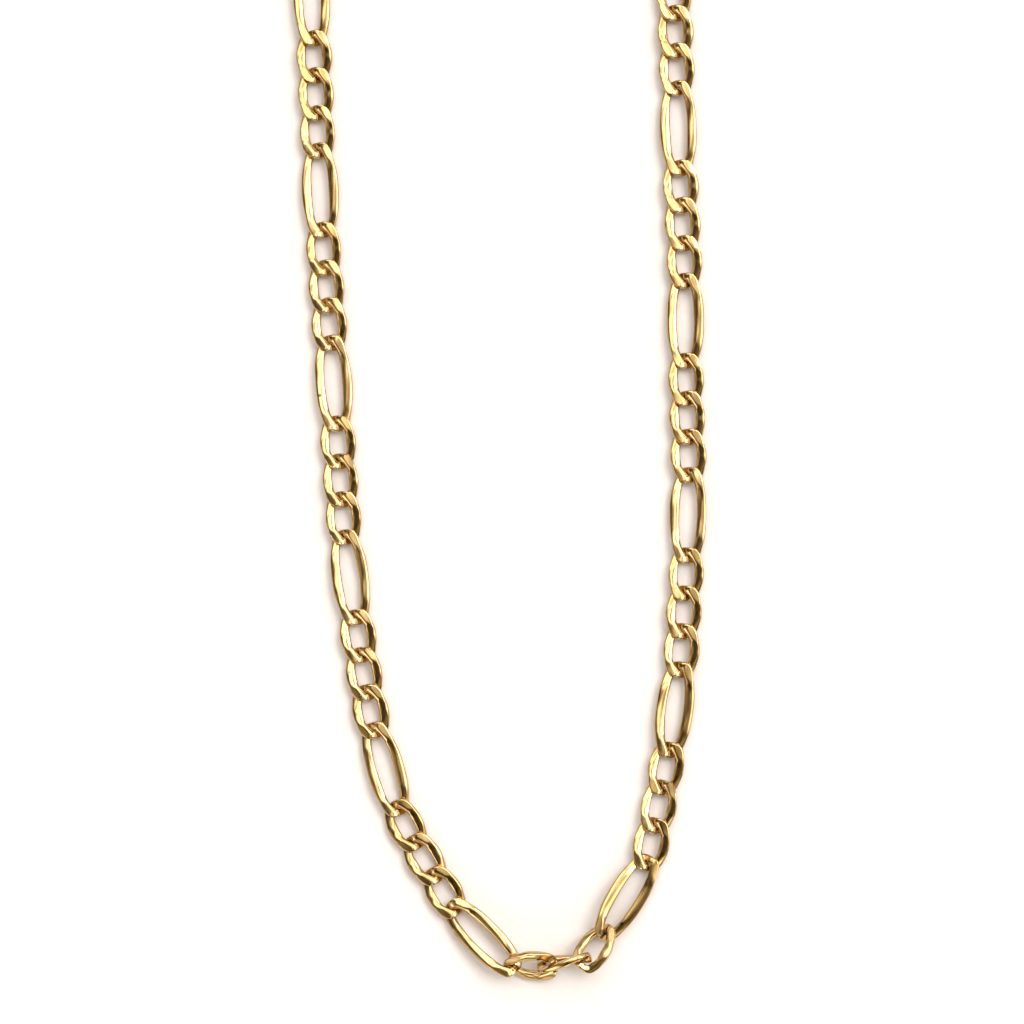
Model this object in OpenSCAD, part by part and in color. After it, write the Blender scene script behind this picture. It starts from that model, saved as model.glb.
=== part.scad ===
// Figaro chain that lies flat: three short links, then one long link, over and over.
// X runs across the loop and Y along it, with the bend towards -Y and the clasp at +Y.
// The chain rests on Z = 0. All sizes are in millimetres and all angles in degrees.

/* [Necklace] */
// Length of the closed necklace along its middle, with the clasp
necklace_l = 457; // [400:1:560]
// Angle that both arms lean to the left above the part that was measured
arm_lean = 2.5; // [0:0.5:5]

/* [Wire] */
// Width of the wire along the side of a link
side_w = 0.95; // [0.8:0.05:1.2]
// Thickness of the wire along the side of a link, before the chain is flattened
side_t = 0.85; // [0.7:0.05:1]
// Width of the wire round the end of a link
end_w = 0.8; // [0.7:0.05:0.9]
// Thickness of the wire round the end of a link
end_t = 0.5; // [0.45:0.05:0.6]
// Share of the wire's width that is flat on its front and back
flat_share = 0.6; // [0.4:0.05:0.7]

/* [Links] */
// Width of the hole in a link
hole_w = 1.5; // [1.3:0.05:1.8]
// Length of the hole in a short link
short_hole = 3.8; // [3.6:0.05:4.4]
// Length of the hole in a long link
long_hole = 7.8; // [6:0.05:9.6]
// Angle that each end of a link is turned out of the link's own plane
end_twist = 48; // [44:1:54]
// Share of the twist that a long link spreads along its sides
side_twist = 0.3; // [0:0.05:0.5]
// Share by which a long link narrows from its middle to its ends
side_bow = 0.14; // [0:0.01:0.2]

/* [Clearances] */
// Gap along the chain where two links hook into each other
hook_gap = 0.2; // [0.16:0.02:0.3]
// Gap through the chain where two links cross
cross_gap = 0.16; // [0.1:0.02:0.24]

/* [Clasp] */
// Distance between the two hooks of the clasp
clasp_l = 14; // [10:0.5:17]
// Width of the clasp's plate
clasp_w = 4.4; // [4:0.2:6]

/* [Hidden] */
GOLD = "#d6a84e";

// Sides of the meshed links: corners round half an end, and round the wire's section
END_STEPS = 6;
WIRE_SECTION = [[1, 0], [flat_share, 1], [-flat_share, 1], [-1, 0], [-flat_share, -1], [flat_share, -1]];
WIRE_SIDES = len(WIRE_SECTION);
// Fullness of a link's end across and along it, where 2 is an ellipse
FULL_ACROSS = 2.8;
FULL_ALONG = 2.8;
// How soon the wire thins from the side towards the end
THINNING = 0.4;

// Sides of the meshed curves of the clasp's plate
CLASP_SIDES = 48;

// Sizes that follow from the ones above
short_pitch = short_hole - hook_gap;
chain_t = 2 * end_t + cross_gap;
half_w = (hole_w + side_w) / 2;
end_round = (short_hole + end_w) / 2;
end_reach = short_hole / 2 + end_w;

// Pattern of an arm, counted from the bend: its second link is long, and so is every fourth after that
PATTERN = 4;
FIRST_LONG = 1;
function is_long(k) = k % PATTERN == FIRST_LONG;
function hole_of(k) = is_long(k) ? long_hole : short_hole;
function pitch_of(k) = hole_of(k) - hook_gap;

// The chain's route, chosen by hand along the part that shows, from the bend up each arm
LEFT_ROUTE = [[-10.9, -27.7], [-13, -20.3], [-14.8, -9.6], [-15.8, -2], [-16.6, 8.9], [-17.2, 16.5],
    [-18, 27], [-18.4, 34.7], [-18.9, 45.1]];
RIGHT_ROUTE = [[14.8, -22.3], [15.8, -14.8], [16.5, -4], [16.7, 3.7], [16.4, 14.2], [16.4, 21.8],
    [15.9, 32.5], [15.7, 39.9], [15.5, 46.9]];

// The five links of the bend, chosen by hand as the route is. The chain turns over once between the arms,
// so its short links there stand on edge. Each row has a heading in the plane, a roll about the chain, and
// where the link hangs in the one before it, counted from the middle link, in widths of the wire. The short
// links have a slope too. The long ones come down to the floor instead
HEADING = 0;
ROLL = 1;
HANG = 2;
SLOPE = 3;
BEND_AT = [4.9, -42.1];
BEND_MIDDLE = [11, -94, [0, 0, 0], 12];
BEND_LEFT = [[-4, -41, [0.45, -0.2, 0.05], 1], [-45, -2, [-0.05, -0.3, 0.3]]];
BEND_RIGHT = [[56, -153, [0.2, -0.6, -0.2], -16], [58, -184, [-0.05, -0.1, 0.2]]];

// Small tools for lists
function last(list) = list[len(list) - 1];
function drop_last(list) = [for (i = [0 : len(list) - 2]) list[i]];
function signed_power(v, e) = sign(v) * pow(abs(v), e);
function mix(a, b, share) = a + (b - a) * share;

// Middle line of the wire round one end of a link, seen from the front, from its right side to its left
function end_arc(half_l) = [
    for (i = [0 : END_STEPS])
        let (a = 180 * i / END_STEPS)
        [half_w * signed_power(cos(a), 2 / FULL_ACROSS),
            half_l - end_round + end_round * signed_power(sin(a), 2 / FULL_ALONG)]
];

// A ring of wire has a hole's length, a bow of its sides and a share of the twist along them
HOLE = 0;
BOW = 1;
SIDE = 2;
SHORT_RING = [short_hole, 0, 0];
LONG_RING = [long_hole, side_bow, side_twist];
CLASP_RING = [clasp_l + hook_gap, 0, 0];

// Middle line of the wire all round a ring, with its sides bowed where they are longer than a short link's
function wire_line(ring) =
    let (
        half_l = (ring[HOLE] + end_w) / 2,
        extra = 1 - end_round / half_l,
        top = end_arc(half_l),
        bottom = -top,
        line = extra > 0
            ? concat(top, [[-half_w, 0]], bottom, [[half_w, 0]])
            : concat(drop_last(top), drop_last(bottom))
    )
    [for (p = line) [p[0] * (1 - ring[BOW] * extra * pow(p[1] / half_l, 2)), p[1]]];

// Twist of a ring at a distance y from its middle: the most at its ends, and less along its sides
function twist_at(y, ring) =
    let (
        half_out = ring[HOLE] / 2 + end_w,
        in_end = max(0, abs(y) - (half_out - end_reach)) / end_reach,
        from_end = sign(y) * sin(90 * min(1, in_end)),
        from_side = sin(90 * y / half_out)
    )
    end_twist * mix(from_end, from_side, ring[SIDE]);

// Corners of a ring in its own frame, section after section: Y along the chain, Z out of its front
function ring_points(ring) =
    let (line = wire_line(ring), n = len(line))
    [
        for (i = [0 : n - 1])
            let (
                ahead = line[(i + 1) % n],
                behind = line[(i + n - 1) % n],
                along = (ahead - behind) / norm(ahead - behind),
                out = [along[1], -along[0]],
                share = pow(abs(out[1]), THINNING),
                w = mix(side_w, end_w, share) / 2,
                t = mix(side_t, end_t, share) / 2
            )
            for (corner = WIRE_SECTION)
                let (
                    p = line[i] + out * corner[0] * w,
                    z = corner[1] * t,
                    turn = twist_at(p[1], ring)
                )
                [p[0] * cos(turn) - z * sin(turn), p[1],
                    max(-chain_t / 2, min(chain_t / 2, p[0] * sin(turn) + z * cos(turn)))]
    ];

// Triangles of a ring whose corners start at a given place in the list
function ring_faces(count, start) =
    let (sections = count / WIRE_SIDES)
    [
        for (i = [0 : sections - 1], j = [0 : WIRE_SIDES - 1])
            let (
                a = start + i * WIRE_SIDES + j,
                b = start + i * WIRE_SIDES + (j + 1) % WIRE_SIDES,
                c = start + (i + 1) % sections * WIRE_SIDES + (j + 1) % WIRE_SIDES,
                d = start + (i + 1) % sections * WIRE_SIDES + j
            )
            for (face = [[a, b, c], [a, c, d]]) face
    ];

SHORT_POINTS = ring_points(SHORT_RING);
LONG_POINTS = ring_points(LONG_RING);
function points_of(k) = is_long(k) ? LONG_POINTS : SHORT_POINTS;

// A link lies between two hooks and is rolled about the line between them
function placed(points, from, to, roll) =
    let (
        y = (from - to) / norm(from - to),
        flat_x = cross(y, [0, 0, 1]) / norm(cross(y, [0, 0, 1])),
        flat_z = cross(flat_x, y),
        x = flat_x * cos(roll) - flat_z * sin(roll),
        z = flat_x * sin(roll) + flat_z * cos(roll),
        middle = (from + to) / 2
    )
    [for (p = points) middle + x * p[0] + y * p[1] + z * p[2]];

// Hooks of the bend's links on one side of the middle link, each a pair of its inner and its outer hook.
// The middle link stands on its side. A hook on the floor is half the chain's thickness up, and a link that
// slopes down to it touches the floor a little past its hook
LEFT = -1;
RIGHT = 1;
INNER = 0;
OUTER = 1;
floor_z = chain_t / 2;
standing_z = hole_w / 2 + side_w;
function direction(heading, slope) = [cos(heading) * cos(slope), sin(heading) * cos(slope), sin(slope)];
tip_l = end_w / 2;
function slope_of(row, side, pitch, from_z) =
    is_undef(row[SLOPE]) ? side * asin((floor_z - from_z) / (pitch + tip_l)) : row[SLOPE];
function bend_hooks(rows, side, k, at) =
    k == len(rows) ? []
    : let (
        inner = at + rows[k][HANG] * end_w,
        slope = slope_of(rows[k], side, pitch_of(k), inner[2]),
        outer = inner + direction(rows[k][HEADING], slope) * side * pitch_of(k)
    )
        concat([[inner, outer]], bend_hooks(rows, side, k + 1, outer));
function middle_hook(side) =
    concat(BEND_AT, [standing_z])
        + direction(BEND_MIDDLE[HEADING], BEND_MIDDLE[SLOPE]) * side * short_pitch / 2;
bend_left = bend_hooks(BEND_LEFT, LEFT, 0, middle_hook(LEFT));
bend_right = bend_hooks(BEND_RIGHT, RIGHT, 0, middle_hook(RIGHT));

// Number of links in one arm, so that the closed necklace comes nearest below its length
function arm_length(count) = count == 0 ? 0 : pitch_of(count - 1) + arm_length(count - 1);
function links_within(length, count) =
    arm_length(count + 1) > length ? count : links_within(length, count + 1);
arm_links = links_within((necklace_l - short_pitch - clasp_l) / 2, 0);

// Smooth line through the route's points, with straight steps between its samples
ROUTE_STEPS = 6;
function smooth(p) = [
    for (i = [0 : len(p) - 2])
        let (a = p[max(i - 1, 0)], b = p[i], c = p[i + 1], d = p[min(i + 2, len(p) - 1)])
        for (j = [0 : ROUTE_STEPS - 1])
            let (t = j / ROUTE_STEPS)
            (2 * b + (c - a) * t + (2 * a - 5 * b + 4 * c - d) * t * t
                + (3 * b - a - 3 * c + d) * t * t * t) / 2,
    last(p)
];

// The stretch that doesn't show goes straight on and closes in half a circle. Each arm's line goes on past
// the top of that, and down on the other side, so that an arm of any length ends on it
lean_along = [-sin(arm_lean), cos(arm_lean)];
lean_across = [cos(arm_lean), sin(arm_lean)];
left_side = last(LEFT_ROUTE) * lean_across;
right_side = last(RIGHT_ROUTE) * lean_across;
crown_r = (right_side - left_side) / 2;
ARC_STEP = 5;
ARC_END = 175;
function crown(reach, side) = [
    for (a = [0 : ARC_STEP : ARC_END])
        lean_across * ((left_side + right_side) / 2 + side * crown_r * cos(a))
            + lean_along * (reach + crown_r * sin(a)),
    lean_across * ((left_side + right_side) / 2 - side * crown_r) + lean_along * (reach - necklace_l)
];
function xy(p) = [p[0], p[1]];
function arm_route(bend, route, reach, side) =
    concat(smooth(concat([xy(last(bend)[OUTER])], route)), crown(reach, side));

// Steps along a route by the pitch of each link, hook after hook
function meets(a, b, p, r) =
    let (d = b - a, f = a - p, half_b = f * d, c = f * f - r * r)
    a + d * (-half_b + sqrt(max(0, half_b * half_b - d * d * c))) / (d * d);
function march(route, at, i, k) =
    k == arm_links ? [at]
    : norm(route[i + 1] - at) < pitch_of(k) ? march(route, at, i + 1, k)
    : concat([at], march(route, meets(route[i], route[i + 1], at, pitch_of(k)), i, k + 1));
function flat_hooks(bend, route, reach, side) =
    let (line = arm_route(bend, route, reach, side))
    march(line, line[0], 0, len(bend));

// The straight stretch is as long as it takes for the clasp to fit between the arms
function left_flat(reach) = flat_hooks(bend_left, LEFT_ROUTE, reach, LEFT);
function right_flat(reach) = flat_hooks(bend_right, RIGHT_ROUTE, reach, RIGHT);
function opening(reach) =
    let (gap = last(right_flat(reach)) - last(left_flat(reach)))
    sign(gap * lean_across) * norm(gap);
function fitting_reach(low, high, tries) =
    let (middle = (low + high) / 2)
    tries == 0 ? middle
    : opening(middle) > clasp_l ? fitting_reach(low, middle, tries - 1)
    : fitting_reach(middle, high, tries - 1);
FIT_TRIES = 26;
shown_top = max(last(LEFT_ROUTE) * lean_along, last(RIGHT_ROUTE) * lean_along);
reach = fitting_reach(shown_top, necklace_l / 2, FIT_TRIES);

// Inner and outer hook of every link of an arm, where the flat ones lie on the floor
function raised(p) = [p[0], p[1], floor_z];
function arm_hooks(bend, flat) =
    concat(bend, [for (k = [1 : len(flat) - 1]) [raised(flat[k - 1]), raised(flat[k])]]);
left_hooks = arm_hooks(bend_left, left_flat(reach));
right_hooks = arm_hooks(bend_right, right_flat(reach));
left_end = last(left_hooks)[OUTER];
right_end = last(right_hooks)[OUTER];

// Links of each arm, each a list of corners. They face down the left arm and up the right one
function roll_of(rows, k) = k < len(rows) ? rows[k][ROLL] : 0;
left_links = concat(
    [placed(SHORT_POINTS, middle_hook(LEFT), middle_hook(RIGHT), BEND_MIDDLE[ROLL])],
    [
        for (k = [0 : arm_links - 1])
            placed(points_of(k), left_hooks[k][OUTER], left_hooks[k][INNER], roll_of(BEND_LEFT, k))
    ]
);
right_links = [
    for (k = [0 : arm_links - 1])
        placed(points_of(k), right_hooks[k][INNER], right_hooks[k][OUTER], roll_of(BEND_RIGHT, k))
];

// Clasp: a plate with round ends and the same hooks as a link's, between the last links of the arms
clasp_body_l = clasp_l + 2 * (end_w + hook_gap / 2) - 2 * end_reach;
clasp_points = placed(ring_points(CLASP_RING), right_end, left_end, 0);
clasp_middle = (left_end + right_end) / 2;
clasp_run = right_end - left_end;
clasp_angle = atan2(clasp_run[1], clasp_run[0]);

// The origin is the middle of the whole part's box, on the floor
function plate_extent(axis) =
    abs(clasp_run[axis]) / norm(clasp_run) * (clasp_body_l - clasp_w) / 2 + clasp_w / 2;
function all_of(axis) = concat(
    [for (link = concat(left_links, right_links, [clasp_points])) for (p = link) p[axis]],
    axis < 2 ? [clasp_middle[axis] - plate_extent(axis), clasp_middle[axis] + plate_extent(axis)] : []
);
function middle_of(values) = (min(values) + max(values)) / 2;
origin = [middle_of(all_of(0)), middle_of(all_of(1)), min(all_of(2))];

// A run of links as one mesh of loose rings
module links(list) {
    starts = [for (i = 0, at = 0; i < len(list); at = at + len(list[i]), i = i + 1) at];
    polyhedron(
        points = [for (link = list) for (p = link) p - origin],
        faces = [for (i = [0 : len(list) - 1]) for (face = ring_faces(len(list[i]), starts[i])) face],
        convexity = 10
    );
}

module left_chain() {
    color(GOLD) links(left_links);
}

module right_chain() {
    color(GOLD) links(right_links);
}

module clasp() {
    straight = clasp_body_l - clasp_w;
    color(GOLD) union() {
        links([clasp_points]);
        translate(clasp_middle - origin) rotate(clasp_angle) {
            cube([straight, clasp_w, chain_t], center = true);
            for (side = [-1, 1])
                translate([side * straight / 2, 0, 0])
                    cylinder(h = chain_t, d = clasp_w, center = true, $fn = CLASP_SIDES);
        }
    }
}

left_chain();
right_chain();
clasp();
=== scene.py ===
# %% [markdown]
# # A yellow gold figaro chain, lying on white paper
#
# The frame below is the CAD model: loose solids that say where each link lies and how big it is. This script
# keeps every one of those places and builds a finer link there, of nearly the same size, with the rounded
# creases, shallow dents and polish of worn gold.

# %% Load the frame
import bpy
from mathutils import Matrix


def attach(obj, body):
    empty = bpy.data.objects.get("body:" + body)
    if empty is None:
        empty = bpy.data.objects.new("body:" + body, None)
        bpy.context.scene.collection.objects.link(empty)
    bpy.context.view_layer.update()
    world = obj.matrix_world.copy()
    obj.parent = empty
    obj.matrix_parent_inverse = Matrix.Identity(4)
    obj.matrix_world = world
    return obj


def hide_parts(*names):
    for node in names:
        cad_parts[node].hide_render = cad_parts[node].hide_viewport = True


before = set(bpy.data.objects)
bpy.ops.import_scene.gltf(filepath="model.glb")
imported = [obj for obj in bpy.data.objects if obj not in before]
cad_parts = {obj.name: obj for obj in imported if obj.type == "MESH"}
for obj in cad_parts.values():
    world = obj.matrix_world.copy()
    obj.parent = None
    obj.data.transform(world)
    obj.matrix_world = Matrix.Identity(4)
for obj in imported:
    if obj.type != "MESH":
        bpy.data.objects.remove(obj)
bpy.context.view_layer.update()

import math

import bmesh
import bpy
import numpy as np
from mathutils import Matrix, Vector

MM = 0.001

# %% [markdown]
# ## Small helpers
#
# Colours are picked as a painter names them, in sRGB hex, but light adds up in linear values, so one function
# turns the first into the second. Node trees grow by one function, which adds a node, sets what it is given
# and wires its inputs.

# %% Helpers
def linear(hex_colour):
    """An sRGB hex colour as linear RGBA."""
    parts = [int(hex_colour[i:i + 2], 16) / 255 for i in (1, 3, 5)]
    return (*[p / 12.92 if p <= 0.04045 else ((p + 0.055) / 1.055) ** 2.4 for p in parts], 1.0)


def add(tree, kind, inputs=None, **settings):
    """A new node: settings are its own, inputs go by name or number and hold a value or another socket."""
    made = tree.nodes.new(kind)
    for name, value in settings.items():
        setattr(made, name, value)
    for key, value in (inputs or {}).items():
        if isinstance(value, bpy.types.NodeSocket):
            tree.links.new(value, made.inputs[key])
        else:
            made.inputs[key].default_value = value
    return made


def link_to_scene(thing):
    bpy.context.scene.collection.objects.link(thing)
    return thing


print("sRGB mid grey is", round(linear("#808080")[0], 3), "in linear light")

# %% [markdown]
# ## Camera
#
# The chain lies on a table and is photographed from above, almost straight down, from 30 cm. The camera comes
# first, so that every step after it can be looked at in the same picture. Its lens follows from two lengths: how
# far away it stands, and how wide a strip of table the picture shows.

# %% Camera
LOOK_AT = Vector((3.352, -62.069, 0.0)) * MM
CAMERA_DISTANCE = 300 * MM
CAMERA_TILT = math.radians(3)
PICTURE_WIDTH = 96.82 * MM

camera_data = bpy.data.cameras.new("table_camera")
camera = link_to_scene(bpy.data.objects.new("table_camera", camera_data))
camera.location = LOOK_AT + CAMERA_DISTANCE * Vector((0, -math.sin(CAMERA_TILT), math.cos(CAMERA_TILT)))
camera.rotation_euler = (CAMERA_TILT, 0, 0)
camera_data.sensor_width = 36
camera_data.lens = camera_data.sensor_width * CAMERA_DISTANCE / PICTURE_WIDTH
camera_data.clip_start = 10 * MM
camera_data.clip_end = 10
bpy.context.scene.camera = camera
print("lens:", round(camera_data.lens, 1), "mm")

# %% [markdown]
# ## Where the links lie
#
# Each arm of the chain is one CAD node that holds many loose rings. A chain has no joints here, so the rings
# never move, and their places can be read from the mesh itself. A copy of the node is merged into whole rings.
# Each ring's middle is the mean of its corners, and its own axes are the directions in which the corners
# spread most, less and least: along the link, across it, and through it. A figaro link looks the same after
# half a turn about any of the three, so it doesn't matter which way each axis points.

# %% Read the links of a node
SAME_POINT = 1e-6      # corners closer than this, in metres, are one


def loose_parts(node):
    """Corners of each loose part of a CAD node, in metres, one array for each."""
    work = bmesh.new()
    work.from_mesh(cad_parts[node].data)
    bmesh.ops.remove_doubles(work, verts=work.verts, dist=SAME_POINT)
    work.verts.ensure_lookup_table()
    unseen = set(range(len(work.verts)))
    parts = []
    while unseen:
        stack = [unseen.pop()]
        part = []
        while stack:
            index = stack.pop()
            part.append(index)
            for edge in work.verts[index].link_edges:
                other = edge.other_vert(work.verts[index]).index
                if other in unseen:
                    unseen.discard(other)
                    stack.append(other)
        parts.append(np.array([work.verts[i].co[:] for i in sorted(part)]))
    work.free()
    return parts


def place_of(corners):
    """Middle, turn and length of a link: X across it, Y along it, Z through it."""
    middle = corners.mean(0)
    _, axes = np.linalg.eigh(np.cov((corners - middle).T))
    through, across, along = axes.T
    if through[2] < 0:
        through = -through
    across = np.cross(along, through)
    turn = Matrix(np.stack([across, along, through], 1).tolist()).to_quaternion()
    reach = np.ptp((corners - middle) @ along)
    return middle, turn, reach


CHAIN_NODES = ["left_chain", "right_chain"]
links = {node: [place_of(part) for part in loose_parts(node)] for node in CHAIN_NODES}
for node, places in links.items():
    lengths = sorted({round(reach / MM, 2) for _, _, reach in places})
    print(node, len(places), "links, lengths in mm:", lengths)

# %% [markdown]
# ## One link
#
# A figaro link starts as an oval ring of gold wire. At each end, one side of the ring is pushed up and the other
# down, so that the wire crosses from low to high there and the next link can hook through it. The whole chain
# is then filed flat on both faces and polished. The mesh is made the same way: a section of wire is swept round
# the oval, it rises and sinks on the way, and what stands above the filed face is cut down to it.
#
# The wire of the sides is thinner than the filed chain. So the file takes only the broad shoulders at the ends,
# and the bars between them keep the slope that they got when the ends were pushed apart. This slope matters more
# than any setting of the metal: it turns one bar of a link to the light and the other to the dark.

# %% Sizes of the wire and the links, in mm
SIDE_W, SIDE_T = 0.95, 0.68                    # the wire in the middle of a side: as seen from above, and upright
END_W, END_T = 0.76, 0.62                      # the wire at the ends
NECK, NECK_AT, NECK_SPREAD = 0.1, 0.25, 0.12   # slimmer just past the side; 0 is the side, 1 the very end
SHOULDER, SHOULDER_AT, SHOULDER_SPREAD = 0.13, 0.7, 0.2   # broader on the way to the end
WIRE_SQUARE = 3.6                              # 2 would be round wire, more is squarer
SHORT_HALF, LONG_HALF = 2.2, 4.2               # from the link's middle to the middle line of its end
SHORT_HOLE_W, LONG_HOLE_W = 1.52, 1.62
SHORT_FULL, LONG_FULL = 2.2, 2.7               # 2 would be an ellipse, more is fuller
SHORT_NARROW, LONG_NARROW = 0.05, 0.16         # share by which the ends are narrower than the middle
LIFT, CROSSING = 0.36, 0.28                    # each side rises this far, and crosses over this near the middle
RISE_L, SOFT_START = 1.9, 0.5                  # the rise takes this long, with a gentle start
LONG_SIDE_SHARE = 0.3                          # a long link spreads this share of the rise over its whole side
SIDE_TILT = math.radians(12)
END_TILT = math.atan(LIFT / CROSSING)
CHAIN_T, CROWN = 1.16, 0.14                    # between the filed faces, and how much lower their rims are
CREASE = 0.035                                 # rounding between a filed face and the wire
FACE_DEPTH, FILED_FROM = 0.03, 0.06            # for choosing the rows of the mesh, below
SHORT_OVAL = SHORT_HALF, SHORT_HOLE_W, SHORT_FULL, SHORT_NARROW
LONG_OVAL = LONG_HALF, LONG_HOLE_W, LONG_FULL, LONG_NARROW
SHORT_STEPS, LONG_STEPS = 52, 76               # sections of the mesh, all round the link

print("slope of the wire at the ends:", round(math.degrees(END_TILT)), "degrees")

# %% Middle line of the wire, seen from above
OVAL_STEPS = 2880                              # for measuring along the oval, far more than the mesh has


def signed_power(value, exponent):
    return np.sign(value) * np.abs(value) ** exponent


def wire_line(half_l, hole_w, full, narrow, steps):
    """Evenly spaced points round the oval, and its outward directions."""
    a = np.linspace(0, 2 * math.pi, OVAL_STEPS + 1)
    x = (hole_w + SIDE_W) / 2 * signed_power(np.cos(a), 2 / full)
    y = half_l * signed_power(np.sin(a), 2 / full)
    x = x * (1 - narrow * (y / half_l) ** 2)
    length = np.concatenate([[0], np.cumsum(np.hypot(np.diff(x), np.diff(y)))])
    at = np.arange(steps) / steps * length[-1]
    line = np.stack([np.interp(at, length, x), np.interp(at, length, y)], 1)
    along = np.roll(line, -1, 0) - np.roll(line, 1, 0)
    along /= np.linalg.norm(along, axis=1)[:, None]
    return line, np.stack([along[:, 1], -along[:, 0]], 1)


line, _ = wire_line(*SHORT_OVAL, SHORT_STEPS)
print("short link, sections", round(float(np.linalg.norm(line[1] - line[0])), 2), "mm apart")

# %% [markdown]
# ## From the wire to the filed link
#
# Each section is a rounded oblong, drawn with 720 points, far more than the mesh keeps. Its place and its turn
# follow the rise: the middle of a side stays level, and the ends slope steeply where they cross. Every curve
# starts and ends gently. A sudden change of slope that no eye would find on dull clay shows at once on polished
# gold, as a patch that looks stamped in.

# %% Wire sections, before the chain is filed
def lifted_sections(half_l, hole_w, full, narrow, side_share, steps, fine=720):
    """Points of every section of the wire, and how far each lies towards the hole, from -1 to 1."""
    line, out = wire_line(half_l, hole_w, full, narrow, steps)
    x, y = line[:, 0], line[:, 1]
    past_side = np.abs(y) - (half_l - RISE_L)
    in_end = np.minimum((past_side + np.hypot(past_side, SOFT_START)) / 2 / RISE_L, 1)
    rise = (1 - side_share) * np.sin(np.pi / 2 * in_end) * y / np.hypot(y, SOFT_START)
    rise += side_share * np.sin(np.pi / 2 * y / half_l)
    side = x / CROSSING
    height = LIFT * rise * side / (1 + np.abs(side) ** 3) ** (1 / 3)
    facing = np.abs(out[:, 1])
    end = facing ** 1.5
    w = (SIDE_W + (END_W - SIDE_W) * facing ** 2 - NECK * np.exp(-((facing - NECK_AT) / NECK_SPREAD) ** 2)
         + SHOULDER * np.exp(-((facing - SHOULDER_AT) / SHOULDER_SPREAD) ** 2))[:, None] / 2
    t = (SIDE_T + (END_T - SIDE_T) * rise ** 2)[:, None] / 2
    tilt = (rise * SIDE_TILT * (1 - end) + np.sign(y) * END_TILT * end)[:, None]
    a = np.arange(fine) / fine * 2 * math.pi
    r = (np.abs(np.cos(a)) ** WIRE_SQUARE + np.abs(np.sin(a)) ** WIRE_SQUARE) ** (-1 / WIRE_SQUARE)
    across, up = w * r * np.cos(a), t * r * np.sin(a)
    off_x = out[:, :1] * across
    points = np.stack([line[:, :1] + off_x * np.cos(tilt) - up * np.sin(tilt),
                       line[:, 1:] + out[:, 1:] * across,
                       height[:, None] + off_x * np.sin(tilt) + up * np.cos(tilt)], -1)
    return points, np.broadcast_to(-r * np.cos(a), across.shape)


raw, _ = lifted_sections(*SHORT_OVAL, side_share=0.0, steps=SHORT_STEPS)
print("thickness before filing:", round(float(np.ptp(raw[..., 2])), 2), "mm, and after:", CHAIN_T, "mm")

# %% [markdown]
# ## Rows that follow the crease
#
# If the same points were kept in every section, the crease between the filed face and the round wire would cut
# across the mesh's squares, and jagged highlights would give it away. So the mesh points of each section are
# chosen anew: one on each crease, one close by on either side to round it, and the rest spread between. Where
# nothing is filed away, the same rows follow the rounded corners of the wire, and they move over to the crease
# as the cut begins.

# %% Height of the filed face
def face_height(x):
    """Height of the filed face. It is a little higher in the middle, because polishing wears the rims."""
    return CHAIN_T / 2 - CROWN * (x / (SHORT_HOLE_W / 2 + SIDE_W)) ** 2


def soft_lowest(a, b, k=CREASE):
    """The lower of two heights, with a rounded change from one to the other."""
    h = np.clip(0.5 + 0.5 * (b - a) / k, 0, 1)
    return b + (a - b) * h - k * h * (1 - h)


print("filed face, middle and rim:", round(face_height(0.0), 2), "and",
      round(face_height(SHORT_HOLE_W / 2 + SIDE_W), 2), "mm above the link's middle plane")

# %% Choose the rows of the mesh
def face_edges(above, centre):
    """Where the filed face of one section starts and ends, as places between its points."""
    fine = len(above)
    top = int(np.argmax(above))
    highest = above[top]
    level = min(0.0, highest - FACE_DEPTH)
    top += round((centre - top) / fine) * fine

    def walk(step):
        j = top
        while above[(j + step) % fine] > level:
            j += step
        a, b = above[j % fine], above[(j + step) % fine]
        return j + step * (a - level) / (a - b)

    filed = np.clip(highest / FILED_FROM, 0, 1)
    corners = centre - fine / 8, centre + fine / 8
    return [corner + (edge - corner) * filed for corner, edge in zip(corners, (walk(-1), walk(1)))]


def rows_between(start, end, inner, soft):
    """Rows from one crease to just before the next, with one close to each crease."""
    soft = min(soft, (end - start) / 4)
    return np.concatenate([[start, start + soft], np.linspace(start + soft, end - soft, inner + 2)[1:-1],
                           [end - soft]])


print("rows for a face of 180 points:", rows_between(90.0, 270.0, inner=3, soft=11).round().tolist())

# %% File both faces
def link_points(half_l, hole_w, full, narrow, side_share, steps, face_rows=3, wall_rows=5, soft=11):
    """Mesh points of a link, section after section, and how far each lies towards the hole."""
    raw, inside = lifted_sections(half_l, hole_w, full, narrow, side_share, steps)
    fine = raw.shape[1]
    sections, towards_hole = [], []
    for points, hole_side in zip(raw, inside):
        limit = face_height(points[:, 0])
        f0, f1 = face_edges(points[:, 2] - limit, fine / 4)
        g0, g1 = face_edges(-points[:, 2] - limit, fine * 3 / 4)
        at = np.concatenate([rows_between(f0, f1, face_rows, soft),
                             rows_between(f1, g0, wall_rows, soft),
                             rows_between(g0, g1, face_rows, soft),
                             rows_between(g1, f0 + fine, wall_rows, soft)])
        low = np.floor(at).astype(int)
        part = (at - low)[:, None]
        chosen = points[low % fine] * (1 - part) + points[(low + 1) % fine] * part
        limit = face_height(chosen[:, 0])
        chosen[:, 2] = np.sign(chosen[:, 2]) * soft_lowest(np.abs(chosen[:, 2]), limit)
        sections.append(chosen)
        towards_hole.append(hole_side[low % fine])
    return np.array(sections), np.array(towards_hole)


points, _ = link_points(*SHORT_OVAL, side_share=0.0, steps=SHORT_STEPS)
print("short link:", points.shape[0], "sections of", points.shape[1], "points")

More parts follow.
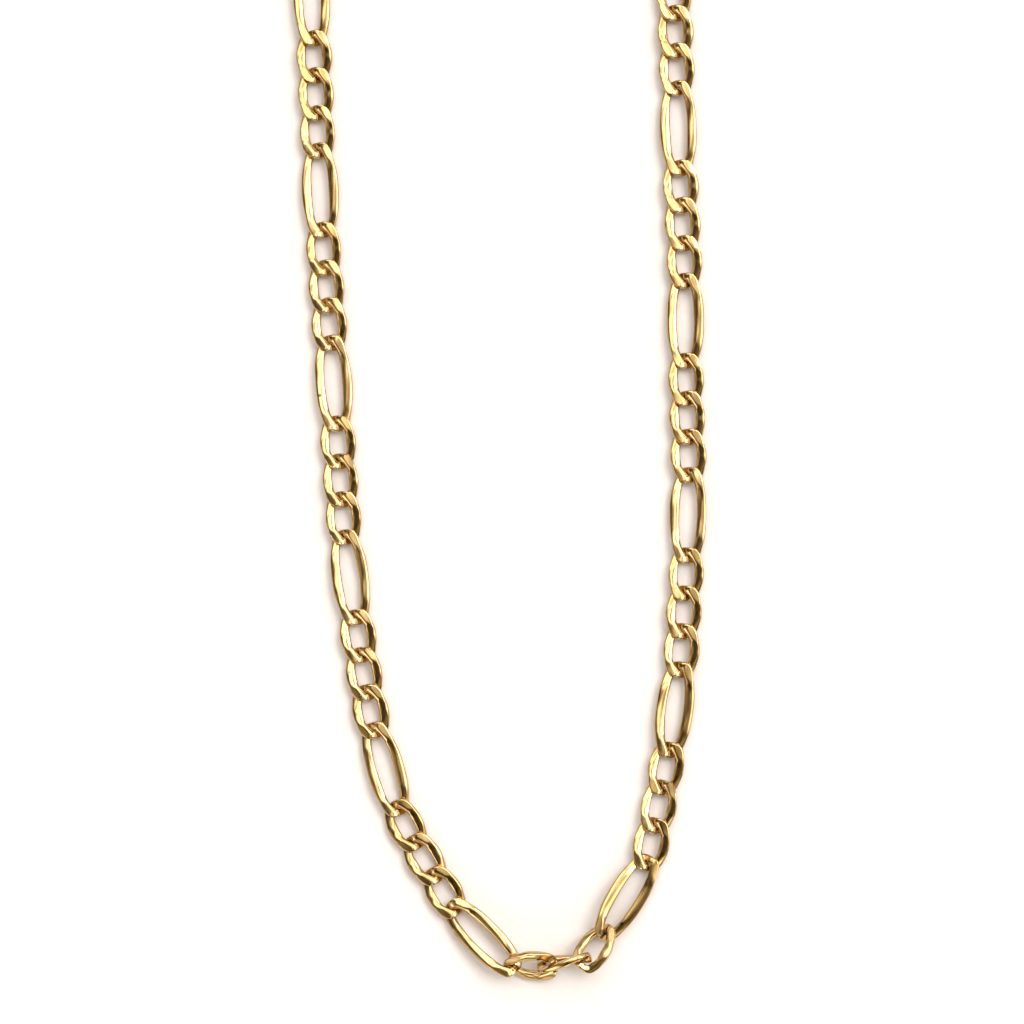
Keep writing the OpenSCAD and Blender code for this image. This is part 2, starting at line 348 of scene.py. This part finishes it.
# %% [markdown]
# ## Two links as meshes
#
# A figaro chain needs only two links, a short one and a long one. The mesh carries two attributes for the gold:
# `crevice`, which rises in the corners of the hole, where the gold is darkened as painted shade, and `link_place`,
# the place within the link, so that marks can follow each link however it lies.

# %% Make a ring of sections a mesh
CREVICE_FROM, CREVICE_OVER = 0.35, 0.4         # shares of the way from the link's middle to its end


def ring_mesh(name, half_l, hole_w, full, narrow, side_share, steps):
    points, towards_hole = link_points(half_l, hole_w, full, narrow, side_share, steps)
    sections, around = points.shape[:2]
    i, j = np.meshgrid(np.arange(sections), np.arange(around), indexing="ij")
    i2, j2 = (i + 1) % sections, (j + 1) % around
    faces = np.stack([i * around + j, i * around + j2, i2 * around + j2, i2 * around + j], -1).reshape(-1, 4)
    mesh = bpy.data.meshes.new(name)
    mesh.from_pydata((points.reshape(-1, 3) * MM).tolist(), [], faces.tolist())
    reach = np.abs(points[..., 1]) / (half_l + END_W / 2)
    # crevice: how much painted shade darkens the gold, in the corners of the hole towards its ends
    crevice = np.clip(towards_hole, 0, 1) * np.clip((reach - CREVICE_FROM) / CREVICE_OVER, 0, 1)
    mesh.attributes.new("crevice", "FLOAT", "POINT").data.foreach_set(
        "value", crevice.ravel().astype(np.float32))
    mesh.attributes.new("link_place", "FLOAT_VECTOR", "POINT").data.foreach_set(
        "vector", (points.reshape(-1, 3) * MM).ravel().astype(np.float32))
    work = bmesh.new()
    work.from_mesh(mesh)
    bmesh.ops.recalc_face_normals(work, faces=work.faces)
    work.to_mesh(mesh)
    work.free()
    mesh.shade_smooth()
    size = np.ptp(points.reshape(-1, 3), axis=0)
    print(name, "size in mm:", size.round(2).tolist(), "faces:", len(mesh.polygons))
    return mesh


short_mesh = ring_mesh("short_link", *SHORT_OVAL, side_share=0.0, steps=SHORT_STEPS)
long_mesh = ring_mesh("long_link", *LONG_OVAL, side_share=LONG_SIDE_SHARE, steps=LONG_STEPS)
short_link = link_to_scene(bpy.data.objects.new("short_link", short_mesh))
long_link = link_to_scene(bpy.data.objects.new("long_link", long_mesh))

# %% [markdown]
# ## The gold
#
# Ten- to fourteen-carat yellow gold, rolled into wire, filed flat and tumble-polished, then worn for years. Metal
# has no colour of its own beyond what it reflects, so it needs a warm base and a low roughness. On top come, in
# steps from large to small: patches of paler and redder gold, brown painted shade in the corners of the hole where
# links meet, a few specks of grime, and last the marks of polishing. The patches, the grime and the marks make it
# look worn.
#
# Sizes in a noise are easiest to keep true as 1 / size, because Object coordinates are in metres.

# %% Colour of the gold
REDDER, PALER = "#BC9A61", "#C8A771"
PATCH = 2 * MM


def noise_at(tree, place, size, detail):
    """Noise with features of about this size, from 0 to 1."""
    return add(tree, "ShaderNodeTexNoise", {"Vector": place, "Scale": 1 / size, "Detail": detail}).outputs["Fac"]


def gold_colour(tree, place, tone):
    """Patches of slightly paler and redder gold, on links that differ a little."""
    mixed = add(tree, "ShaderNodeMath", {0: noise_at(tree, place, PATCH, 3.0), 1: tone}, operation="ADD")
    share = add(tree, "ShaderNodeMapRange", {"Value": mixed.outputs[0], "From Min": 0.6, "From Max": 1.4})
    colour = add(tree, "ShaderNodeMix", {"Factor": share.outputs[0], "A": linear(REDDER), "B": linear(PALER)},
                 data_type="RGBA")
    return colour.outputs["Result"]


print("gold between", [[round(c, 2) for c in linear(shade)[:3]] for shade in (REDDER, PALER)], "in linear light")

# %% Painted shade in the corners, and grime on the gold
GRIME = [(-14.8, -51.1, 0.2), (-13.0, -47.7, 0.2), (-12.9, -49.8, 0.28), (1.6, -102.3, 0.22), (12.95, -98.9, 0.18),
         (13.6, -100.7, 0.2), (11.8, -101.5, 0.42)]   # x, y and radius in mm, seen from above
# Painted shade: the brown for the corners of the hole, the size of its spots, and its strongest share
CORNER_SHADE_COLOUR, CORNER_SHADE_SPOT, CORNER_SHADE_MOST = "#6B4524", 0.8 * MM, 0.75
GRIME_COLOUR, GRIME_MOST = "#2C2416", 0.85


def with_corner_shade(tree, place, colour):
    """Painted shade: brown in the corners of the hole, broken up into spots."""
    # crevice says where the corners get the brown painted shade
    crevice = add(tree, "ShaderNodeAttribute", attribute_name="crevice").outputs["Fac"]
    corner_shade = add(tree, "ShaderNodeMath", {0: crevice, 1: noise_at(tree, place, CORNER_SHADE_SPOT, 2.0)}, operation="MULTIPLY")
    share = add(tree, "ShaderNodeMapRange", {"Value": corner_shade.outputs[0], "From Min": 0.15, "From Max": 0.6,
                                             "To Max": CORNER_SHADE_MOST})
    shaded_gold = add(tree, "ShaderNodeMix", {"Factor": share.outputs[0], "A": colour, "B": linear(CORNER_SHADE_COLOUR)},
                data_type="RGBA")
    return shaded_gold.outputs["Result"]


def with_specks(tree, place, colour):
    """Specks of dark grime at the places listed, each fading out from half its radius."""
    from_above = add(tree, "ShaderNodeVectorMath", {0: place, 1: (1.0, 1.0, 0.0)}, operation="MULTIPLY")
    grime = 0.0
    for x, y, radius in GRIME:
        away = add(tree, "ShaderNodeVectorMath", {0: from_above.outputs[0], 1: (x * MM, y * MM, 0.0)},
                   operation="DISTANCE")
        speck = add(tree, "ShaderNodeMapRange", {"Value": away.outputs["Value"], "From Min": radius * MM / 2,
                                                 "From Max": radius * MM, "To Min": GRIME_MOST, "To Max": 0.0})
        grime = add(tree, "ShaderNodeMath", {0: grime, 1: speck.outputs[0]}, operation="MAXIMUM").outputs[0]
    specked = add(tree, "ShaderNodeMix", {"Factor": grime, "A": colour, "B": linear(GRIME_COLOUR)}, data_type="RGBA")
    return specked.outputs["Result"]


print("specks of grime:", len(GRIME))

# %% [markdown]
# ## Polish
#
# Three things break up the reflections. Fine marks run along each link, drawn about 0.06 mm wide, as real ones
# would be too fine to show. A slow haze makes some stretches duller. And soft knocks, about 2 mm across and 0.02 mm
# deep, bend the surface so little that only a mirror shows them. Marks and knocks use the place within the link,
# moved by the link's own tone, so that no two links have the same ones.
#
# A thin clear coat stands for wax and skin oil. It adds a little white to the brightest reflections, which keeps
# them pale gold rather than yellow.

# %% Polish of the gold
MARK, MARK_STRETCH = 0.12 * MM, 0.12       # this size across the link, and stretched along it
HAZE = 1.1 * MM
KNOCK, KNOCK_DEPTH = 2.2 * MM, 0.02 * MM
ROUGH_LEAST, ROUGH_MOST = 0.06, 0.18
COAT, COAT_ROUGH = 0.3, 0.12


def polish(tree, place, tone, shader):
    link_place = add(tree, "ShaderNodeAttribute", attribute_name="link_place").outputs["Vector"]
    apart = add(tree, "ShaderNodeVectorMath", {0: link_place, 1: tone}, operation="ADD").outputs[0]
    stretch = add(tree, "ShaderNodeMapping", {"Vector": apart, "Scale": (1, MARK_STRETCH, 1)}).outputs[0]
    marks = noise_at(tree, stretch, MARK, 5.0)
    wear = add(tree, "ShaderNodeMath", {0: marks, 1: noise_at(tree, place, HAZE, 2.0)}, operation="MULTIPLY")
    rough = add(tree, "ShaderNodeMapRange", {"Value": wear.outputs[0], "From Min": 0.1, "From Max": 0.45,
                                             "To Min": ROUGH_LEAST, "To Max": ROUGH_MOST})
    tree.links.new(rough.outputs[0], shader.inputs["Roughness"])
    knocks = noise_at(tree, apart, KNOCK, 0.0)
    knocked = add(tree, "ShaderNodeBump", {"Height": knocks, "Strength": 1.0, "Distance": KNOCK_DEPTH})
    marked = add(tree, "ShaderNodeBump", {"Height": marks, "Strength": 0.12, "Distance": KNOCK_DEPTH,
                                          "Normal": knocked.outputs[0]})
    tree.links.new(marked.outputs[0], shader.inputs["Normal"])


def polished_gold():
    gold = bpy.data.materials.new("polished_yellow_gold")
    gold.use_nodes = True
    tree = gold.node_tree
    shader = tree.nodes["Principled BSDF"]
    shader.inputs["Metallic"].default_value = 1.0
    shader.inputs["Coat Weight"].default_value = COAT
    shader.inputs["Coat Roughness"].default_value = COAT_ROUGH
    place = add(tree, "ShaderNodeTexCoord").outputs["Object"]
    tone = add(tree, "ShaderNodeAttribute", attribute_name="link_tone").outputs["Fac"]
    colour = gold_colour(tree, place, tone)
    # brown painted shade in the corners of the hole
    colour = with_corner_shade(tree, place, colour)
    colour = with_specks(tree, place, colour)
    tree.links.new(colour, shader.inputs["Base Color"])
    polish(tree, place, tone, shader)
    return gold


gold = polished_gold()
print("material:", gold.name, "with", len(gold.node_tree.nodes), "nodes")

# %% [markdown]
# ## Links along the chain
#
# Ninety-five links repeat two shapes, which is work for Geometry Nodes. A point for each link carries its turn
# and whether it is a long one, and the tree puts the right ring on each.
#
# Then the tree makes them differ, as the links of a worn chain do. Each is rolled by up to 3 degrees about its
# length, which its crowned faces allow on a flat table. Each gets a tone of its own. And a slow noise pushes its
# surface in and out by a few hundredths of a millimetre, with a different draw for each link. On a mirror that
# is enough to make one link flash and the next one stay dark.

# %% The node tree
TONES_APART = 50.0     # spreads the tones, 0 to 1, so far that each link meets noise of its own


def place_links_tree():
    tree = bpy.data.node_groups.new("place_links", "GeometryNodeTree")
    face = tree.interface
    face.new_socket("Geometry", in_out="OUTPUT", socket_type="NodeSocketGeometry")
    for name, kind in (("Places", "Geometry"), ("Short link", "Object"), ("Long link", "Object"),
                       ("Roll", "Float"), ("Dent depth", "Float"), ("Dent size", "Float"),
                       ("Seed", "Int"), ("Finish", "Material")):
        face.new_socket(name, in_out="INPUT", socket_type="NodeSocket" + kind)
    given = add(tree, "NodeGroupInput").outputs

    long_one = add(tree, "GeometryNodeInputNamedAttribute", {"Name": "long_link"}, data_type="BOOLEAN")
    short_one = add(tree, "FunctionNodeBooleanMath", {0: long_one.outputs["Attribute"]}, operation="NOT")
    turn = add(tree, "GeometryNodeInputNamedAttribute", {"Name": "turn"}, data_type="QUATERNION")
    joined = add(tree, "GeometryNodeJoinGeometry")
    for ring, chosen in (("Short link", short_one.outputs[0]), ("Long link", long_one.outputs["Attribute"])):
        shape = add(tree, "GeometryNodeObjectInfo", {"Object": given[ring], "As Instance": True})
        placed = add(tree, "GeometryNodeInstanceOnPoints", {
            "Points": given["Places"], "Selection": chosen, "Instance": shape.outputs["Geometry"],
            "Rotation": turn.outputs["Attribute"]})
        tree.links.new(placed.outputs[0], joined.inputs[0])

    least_roll = add(tree, "ShaderNodeMath", {0: given["Roll"], 1: -1.0}, operation="MULTIPLY")
    roll = add(tree, "FunctionNodeRandomValue", {2: least_roll.outputs[0], 3: given["Roll"], "Seed": given["Seed"]},
               data_type="FLOAT")
    about_length = add(tree, "FunctionNodeAxisAngleToRotation", {"Axis": (0, 1, 0), "Angle": roll.outputs[1]})
    rolled = add(tree, "GeometryNodeRotateInstances", {
        "Instances": joined.outputs[0], "Rotation": about_length.outputs[0], "Local Space": True})

    tone = add(tree, "FunctionNodeRandomValue", {"Seed": given["Seed"]}, data_type="FLOAT")
    toned = add(tree, "GeometryNodeStoreNamedAttribute", {
        "Geometry": rolled.outputs[0], "Name": "link_tone", "Value": tone.outputs[1]},
        data_type="FLOAT", domain="INSTANCE")
    loose = add(tree, "GeometryNodeRealizeInstances", {"Geometry": toned.outputs[0]})

    per_metre = add(tree, "ShaderNodeMath", {0: 1.0, 1: given["Dent size"]}, operation="DIVIDE")
    own_tone = add(tree, "GeometryNodeInputNamedAttribute", {"Name": "link_tone"}, data_type="FLOAT")
    own_dents = add(tree, "ShaderNodeMath", {
        0: own_tone.outputs["Attribute"], 1: TONES_APART, 2: given["Seed"]}, operation="MULTIPLY_ADD")
    noise = add(tree, "ShaderNodeTexNoise", {"Scale": per_metre.outputs[0], "W": own_dents.outputs[0], "Detail": 0.0},
                noise_dimensions="4D")
    swing = add(tree, "ShaderNodeMapRange", {"Value": noise.outputs["Fac"], "From Min": 0.3, "From Max": 0.7,
                                             "To Min": -1.0, "To Max": 1.0})
    depth = add(tree, "ShaderNodeMath", {0: swing.outputs[0], 1: given["Dent depth"]}, operation="MULTIPLY")
    normal = add(tree, "GeometryNodeInputNormal")
    push = add(tree, "ShaderNodeVectorMath", {0: normal.outputs[0], "Scale": depth.outputs[0]}, operation="SCALE")
    dented = add(tree, "GeometryNodeSetPosition", {"Geometry": loose.outputs[0], "Offset": push.outputs[0]})
    finished = add(tree, "GeometryNodeSetMaterial", {"Geometry": dented.outputs[0], "Material": given["Finish"]})
    add(tree, "NodeGroupOutput", {0: finished.outputs[0]})
    return tree


links_tree = place_links_tree()
identifiers = {item.name: item.identifier for item in links_tree.interface.items_tree if item.in_out == "INPUT"}
print("tree inputs:", list(identifiers))

# %% A piece for each arm
LONG_FROM = 7 * MM             # a link longer than this is a long one
ROLL = math.radians(3)         # at most, either way
DENT_DEPTH = 0.04 * MM         # at most, in and out
DENT_SIZE = 3.0 * MM


def chain_piece(name, places, seed):
    points = bpy.data.meshes.new(name + "_places")
    points.from_pydata([middle.tolist() for middle, _, _ in places], [], [])
    turns = np.array([turn[:] for _, turn, _ in places], np.float32)
    points.attributes.new("turn", "QUATERNION", "POINT").data.foreach_set("value", turns.ravel())
    points.attributes.new("long_link", "BOOLEAN", "POINT").data.foreach_set(
        "value", [bool(reach > LONG_FROM) for _, _, reach in places])
    source = link_to_scene(bpy.data.objects.new(name + "_places", points))
    modifier = source.modifiers.new("links", "NODES")
    modifier.node_group = links_tree
    for label, value in (("Short link", short_link), ("Long link", long_link), ("Roll", ROLL),
                         ("Dent depth", DENT_DEPTH), ("Dent size", DENT_SIZE), ("Seed", seed), ("Finish", gold)):
        modifier[identifiers[label]] = value
    depsgraph = bpy.context.evaluated_depsgraph_get()
    mesh = bpy.data.meshes.new_from_object(source.evaluated_get(depsgraph))
    mesh.name = name
    mesh.materials.clear()
    mesh.materials.append(gold)
    bpy.data.objects.remove(source)
    piece = link_to_scene(bpy.data.objects.new(name, mesh))
    print(name, "triangles:", sum(len(p.vertices) - 2 for p in mesh.polygons), "materials:", len(mesh.materials))
    return piece


left_links = chain_piece("left_links", links["left_chain"], seed=3)
right_links = chain_piece("right_links", links["right_chain"], seed=8)
for piece, node in ((left_links, "left_chain"), (right_links, "right_chain")):
    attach(piece, "root")
    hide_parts(node)
for template in (short_link, long_link):
    bpy.data.objects.remove(template)

# %% [markdown]
# ## The clasp
#
# The clasp lies outside the picture, so it is a plain one: a flat plate with round ends and a hook at each end
# like the end of a link. The plate is a stadium with rounded rims, joined to a long ring by a Boolean, so that
# the two are one body.

# %% Plate of the clasp
PLATE_L, PLATE_W, PLATE_RIM = 10.4, 4.4, 0.3   # in mm
END_STEPS = 32                                 # edges round each end
CLASP_HALF, CLASP_FULL, CLASP_STEPS = 7.5, 6, 120   # the ring in it, nearly a rectangle with hooked ends


def plate_mesh():
    work = bmesh.new()
    corners = []
    for end in (1, -1):
        for step in range(END_STEPS + 1):
            a = math.pi * step / END_STEPS
            corners.append(work.verts.new((end * PLATE_W / 2 * math.cos(a) * MM,
                                           end * ((PLATE_L - PLATE_W) / 2 + PLATE_W / 2 * math.sin(a)) * MM,
                                           -CHAIN_T / 2 * MM)))
    bottom = work.faces.new(corners)
    top = bmesh.ops.extrude_face_region(work, geom=[bottom])
    raised = [v for v in top["geom"] if isinstance(v, bmesh.types.BMVert)]
    bmesh.ops.translate(work, vec=(0, 0, CHAIN_T * MM), verts=raised)
    bmesh.ops.recalc_face_normals(work, faces=work.faces)
    rims = [e for e in work.edges if abs(e.verts[0].co.z - e.verts[1].co.z) < 1e-9]
    bmesh.ops.bevel(work, geom=rims, offset=PLATE_RIM * MM, segments=4, affect="EDGES", profile=0.5)
    mesh = bpy.data.meshes.new("clasp_plate")
    work.to_mesh(mesh)
    work.free()
    mesh.shade_smooth()
    return mesh


plate = link_to_scene(bpy.data.objects.new("clasp_plate", plate_mesh()))
print("plate:", [round(v / MM, 2) for v in plate.dimensions], "mm")

# %% Plate and hooks made one
middle, turn, _ = place_of(loose_parts("clasp")[0])
hooks = ring_mesh("clasp_ring", CLASP_HALF, SHORT_HOLE_W, CLASP_FULL, narrow=0, side_share=0.0, steps=CLASP_STEPS)
ring = link_to_scene(bpy.data.objects.new("clasp_ring", hooks))
union = plate.modifiers.new("hooks", "BOOLEAN")
union.operation = "UNION"
union.solver = "EXACT"
union.object = ring
depsgraph = bpy.context.evaluated_depsgraph_get()
clasp_mesh = bpy.data.meshes.new_from_object(plate.evaluated_get(depsgraph))
clasp_mesh.transform(Matrix.Translation(middle.tolist()) @ turn.to_matrix().to_4x4())
clasp_mesh.materials.clear()
clasp_mesh.materials.append(gold)
clasp_mesh.set_sharp_from_angle(angle=math.radians(40))
for leftover in (plate, ring):
    bpy.data.objects.remove(leftover)
finished_clasp = link_to_scene(bpy.data.objects.new("finished_clasp", clasp_mesh))
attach(finished_clasp, "root")
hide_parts("clasp")
print("clasp at mm:", [round(v / MM, 3) for v in middle], "faces:", len(clasp_mesh.polygons))

# %% [markdown]
# ## White paper
#
# The chain lies on white paper with faint fibres. The paper is a little warm. In full light it is over-exposed to
# pure white, so the warmth shows only in the soft shadows next to the links.

# %% Floor
FLOOR_SIZE = 4.0               # in metres, so that it fills every view
FIBRE = 0.6 * MM
PAPER_DARKER, PAPER_LIGHTER = "#D9D0CB", "#DFD8D3"


def paper():
    material = bpy.data.materials.new("white_paper")
    material.use_nodes = True
    tree = material.node_tree
    shader = tree.nodes["Principled BSDF"]
    shader.inputs["Roughness"].default_value = 0.9
    shader.inputs["Specular IOR Level"].default_value = 0.2
    place = add(tree, "ShaderNodeTexCoord").outputs["Object"]
    colour = add(tree, "ShaderNodeMix", {
        "Factor": noise_at(tree, place, FIBRE, 4.0), "A": linear(PAPER_DARKER), "B": linear(PAPER_LIGHTER)},
        data_type="RGBA")
    tree.links.new(colour.outputs["Result"], shader.inputs["Base Color"])
    return material


floor_mesh = bpy.data.meshes.new("paper")
half = FLOOR_SIZE / 2
floor_mesh.from_pydata([(-half, -half, 0), (half, -half, 0), (half, half, 0), (-half, half, 0)], [], [(0, 1, 2, 3)])
floor_mesh.materials.append(paper())
floor = link_to_scene(bpy.data.objects.new("paper", floor_mesh))
print("paper:", FLOOR_SIZE, "m square")

# %% [markdown]
# ## The room
#
# A mirror only shows its surroundings, so the room matters more than the metal's settings. Photographers put a
# polished chain under a big soft light, and hold a black card where they want a dark side. Here the room is
# painted on the sky by direction, as two ramps multiplied. The one across is bright on the left, dimmer just right
# of straight up, and brightest half-way down on the right. The one along is dark on the near side and bright on
# the far side. Both are turned by 28 degrees, which brings the light of the second to the far right and its dark
# to the near left. So the bars on the left of each link look into the light, and those on the right into the
# dark. The camera sees the lower links at a slant, and so more of each of them looks into the dark.
#
# Real rooms are uneven, so slow noise makes the light blotchy and adds a few brighter spots.

# %% Ramp by direction
def place_on_ramp(angle):
    """A ramp goes from -90 degrees to 90, with 0 straight up."""
    return (angle + 90) / 180


def ramp(tree, value, stops):
    """A smooth change of colour through (angle in degrees, level, warmth). A ramp holds only colours up to 1,
    so its levels are scaled down to that and up again after it."""
    top = max(level for _, level, _ in stops)
    made = add(tree, "ShaderNodeValToRGB", {"Fac": value})
    made.color_ramp.interpolation = "EASE"
    elements = made.color_ramp.elements
    while len(elements) < len(stops):
        elements.new(0.5)
    for element, (angle, level, warmth) in zip(elements, stops):
        element.position = place_on_ramp(angle)
        element.color = [level / top * (1 - warmth * share) for share in (0, 0.35, 1)] + [1]
    scaled = add(tree, "ShaderNodeVectorMath", {0: made.outputs["Color"], "Scale": top}, operation="SCALE")
    return scaled.outputs[0]


print("straight up lies at", place_on_ramp(0), "of a ramp, and 45 degrees to the right at", place_on_ramp(45))

# %% Room, painted by direction
ACROSS = [(-90, 0.3, 0.2), (-62, 0.6, 0.1), (-42, 1.9, 0), (-16, 2.1, 0), (-3, 1.8, 0), (5, 0.9, 0), (20, 0.7, 0.1),
          (32, 2.3, 0), (46, 3.1, 0), (64, 1.0, 0), (90, 0.4, 0.1)]
ALONG = [(-90, 0.4, 0.1), (-50, 0.9, 0), (-40, 0.5, 0.2), (-31, 0.11, 0.4), (-6, 0.1, 0.4), (1, 0.6, 0.2),
         (8, 1.2, 0), (50, 1.25, 0), (72, 0.6, 0), (90, 0.4, 0)]
ROOM_TURN = math.radians(-28)
BLOTCH_SCALE, BLOTCH_SWING = 3.0, 0.65   # a larger scale is finer, here and for the lamps
LAMP_SCALE, LAMP_LEVEL = 3.5, 0.6
LAMP_FROM, LAMP_FULL = 0.53, 0.62        # levels of their noise at which lamps begin and are fully lit


def room():
    world = bpy.data.worlds.new("room")
    bpy.context.scene.world = world
    world.use_nodes = True
    tree = world.node_tree
    tree.nodes.clear()
    sky = add(tree, "ShaderNodeTexCoord").outputs["Generated"]
    turned = add(tree, "ShaderNodeVectorRotate", {"Vector": sky, "Angle": -ROOM_TURN}, rotation_type="Z_AXIS")
    direction = add(tree, "ShaderNodeSeparateXYZ", {0: turned.outputs[0]})
    levels = []
    for axis, stops in (("X", ACROSS), ("Y", ALONG)):
        angle = add(tree, "ShaderNodeMath", {0: direction.outputs[axis], 1: direction.outputs["Z"]},
                    operation="ARCTAN2")
        place = add(tree, "ShaderNodeMapRange", {"Value": angle.outputs[0], "From Min": -math.pi / 2,
                                                 "From Max": math.pi / 2})
        levels.append(ramp(tree, place.outputs[0], stops))
    light = add(tree, "ShaderNodeVectorMath", {0: levels[0], 1: levels[1]}, operation="MULTIPLY")
    blotches = add(tree, "ShaderNodeTexNoise", {"Vector": sky, "Scale": BLOTCH_SCALE, "Detail": 0.5})
    uneven = add(tree, "ShaderNodeMapRange", {"Value": blotches.outputs["Fac"], "From Min": 0.35, "From Max": 0.65,
                                              "To Min": 1 - BLOTCH_SWING, "To Max": 1 + BLOTCH_SWING})
    spots = add(tree, "ShaderNodeTexNoise", {"Vector": sky, "Scale": LAMP_SCALE, "Detail": 0.0})
    lamps = add(tree, "ShaderNodeMapRange", {"Value": spots.outputs["Fac"], "From Min": LAMP_FROM,
                                             "From Max": LAMP_FULL, "To Min": 0.0, "To Max": LAMP_LEVEL})
    swing = add(tree, "ShaderNodeMath", {0: uneven.outputs[0], 1: lamps.outputs[0]}, operation="ADD")
    lit = add(tree, "ShaderNodeVectorMath", {0: light.outputs[0], "Scale": swing.outputs[0]}, operation="SCALE")
    shown = add(tree, "ShaderNodeBackground", {"Color": lit.outputs[0]})
    add(tree, "ShaderNodeOutputWorld", {"Surface": shown.outputs[0]})
    return world


print("room:", len(room().node_tree.nodes), "nodes")
bpy.context.scene.view_settings.view_transform = "Standard"

# %% [markdown]
# ## A window
#
# The soft shadows in the photo fall to the lower left, so a window stands at the far right. A sun lamp with a
# wide angle does for it: its light comes from one side everywhere, and its shadows have broad soft edges.

# %% Window, from the far right
WINDOW_FROM = Vector((0.55, 0.4, 1.0))
window_data = bpy.data.lights.new("window", "SUN")
window_data.energy = 1.3
window_data.angle = math.radians(30)
window = link_to_scene(bpy.data.objects.new("window", window_data))
window.rotation_euler = WINDOW_FROM.to_track_quat("Z", "Y").to_euler()
print("window", round(math.degrees(WINDOW_FROM.angle(Vector((0, 0, 1))))), "degrees from straight up")
